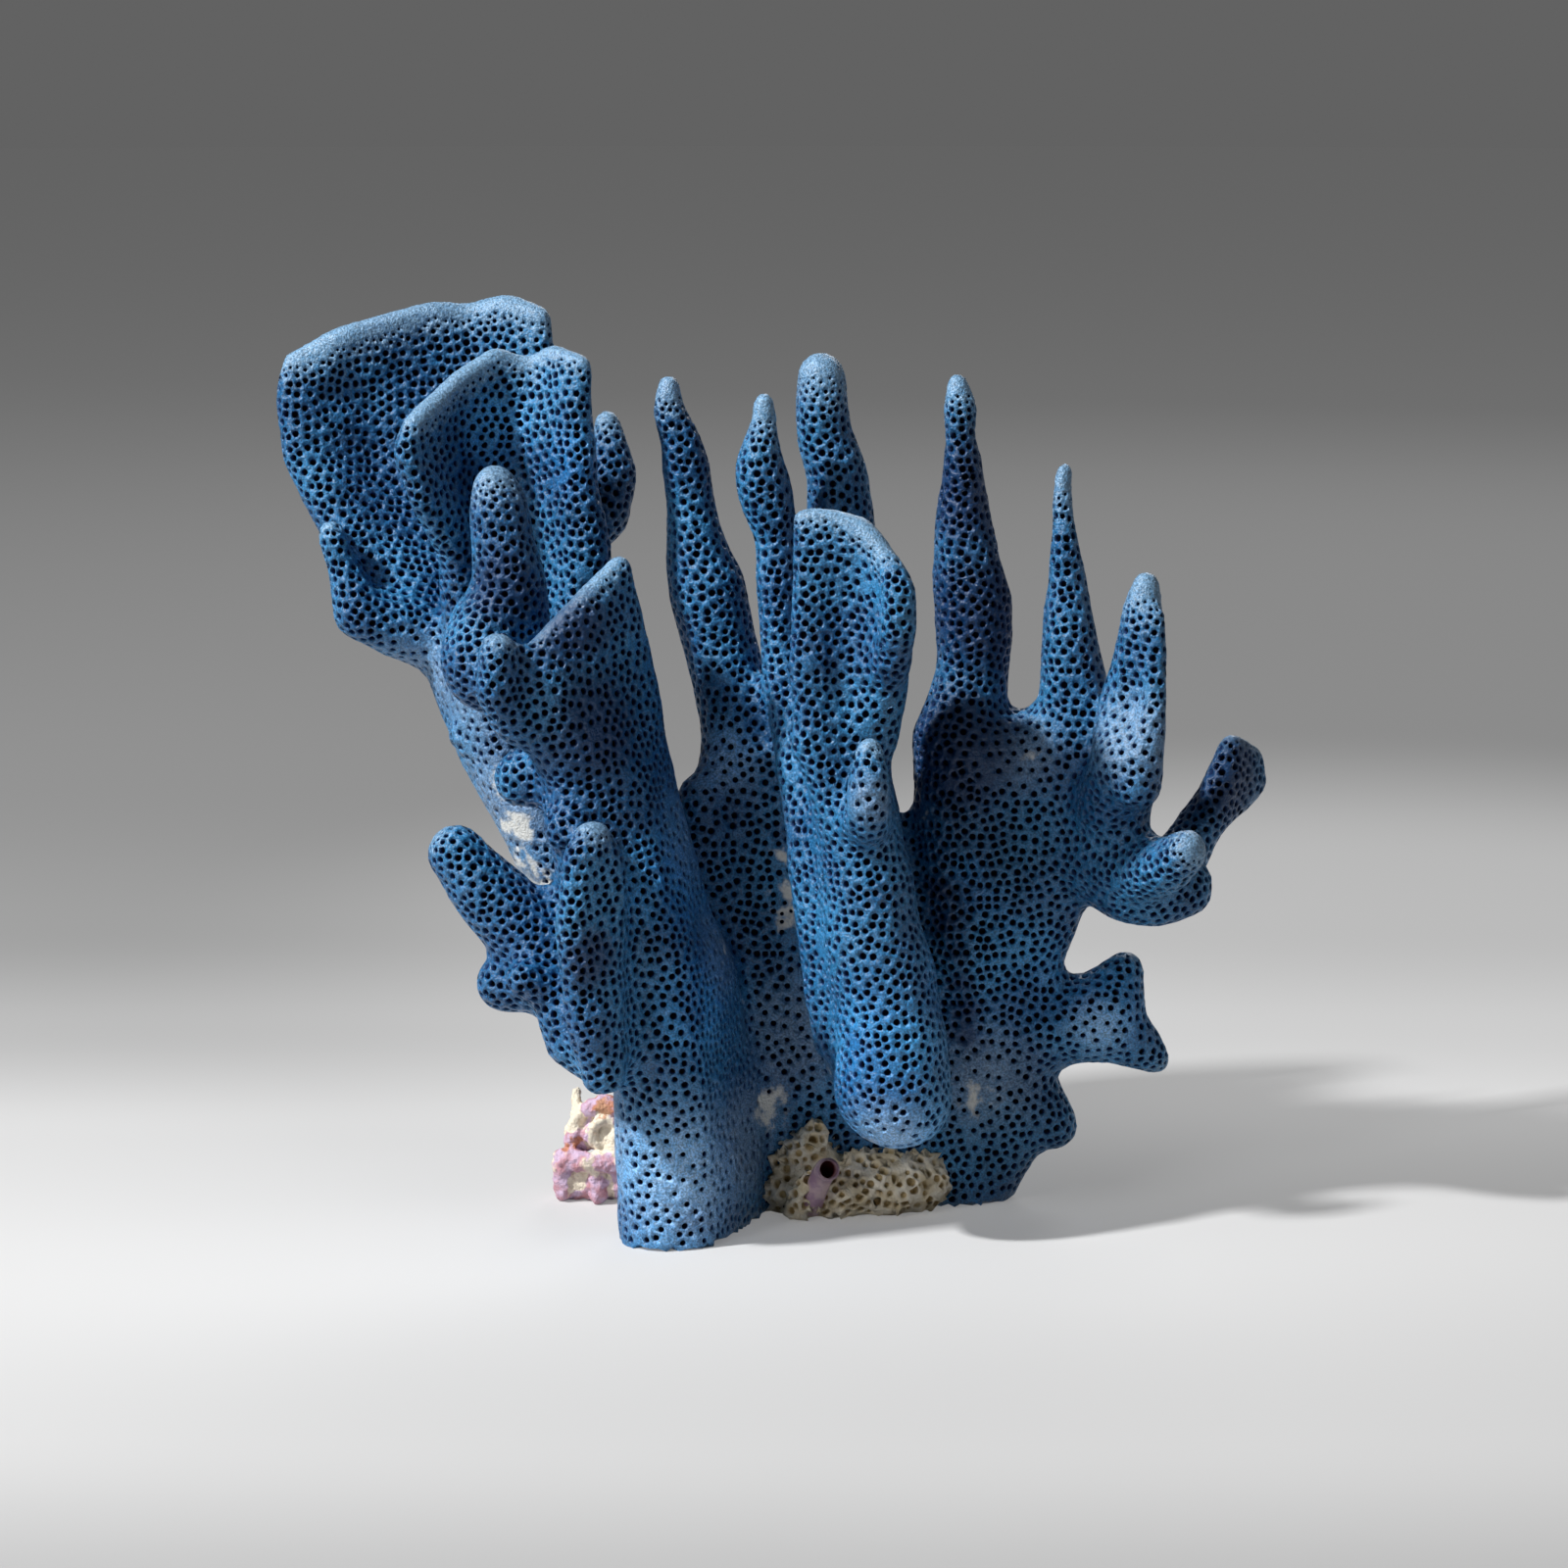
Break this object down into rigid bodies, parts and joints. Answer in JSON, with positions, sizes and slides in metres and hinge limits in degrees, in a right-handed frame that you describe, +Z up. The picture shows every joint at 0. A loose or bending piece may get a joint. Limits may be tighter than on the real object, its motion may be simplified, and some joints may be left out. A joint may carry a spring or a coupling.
{
  "type": "blue ridge coral",
  "caption": "Dried blue coral colony: pore-covered columns, fans and spires rise from one flat-cut foot with crusts of matrix; it stands on the cut.",
  "frame": {"origin": "centre of the bounding box on the floor that the cut foot rests on", "axes": "+Z up from the cut; -Y towards the front with the two big columns; +X to the right seen from the front, along the widest extent"},
  "size_m": [0.1641, 0.0665, 0.1496],
  "materials": {
    "blue_coral": "porous blue skeleton, pale powdery tips",
    "cream_crust": "rough honeycomb crust",
    "pink_crust": "smooth lumpy coralline crust",
    "worm_tube": "smooth chalky tube"
  },
  "bodies": {
    "root": {"root_trunk": "blue_coral", "front_left_column": "blue_coral", "front_left_crest": "blue_coral", "front_lobe": "blue_coral", "left_side_branch": "blue_coral", "rear_left_stem": "blue_coral", "rear_left_fan": "blue_coral", "rear_left_spur": "blue_coral", "mid_left_fan": "blue_coral", "fan_back_finger": "blue_coral", "left_thumb": "blue_coral", "centre_spire": "blue_coral", "centre_small_spire": "blue_coral", "centre_blunt_finger": "blue_coral", "front_column": "blue_coral", "front_ear": "blue_coral", "right_blade": "blue_coral", "right_tall_spire": "blue_coral", "right_short_spire": "blue_coral", "right_ridge": "blue_coral", "right_arm": "blue_coral", "right_paddle": "blue_coral", "lower_right_branch": "blue_coral", "cream_crust": "cream_crust", "pink_crust": "pink_crust", "worm_tube": "worm_tube"}
  },
  "joints": []
}
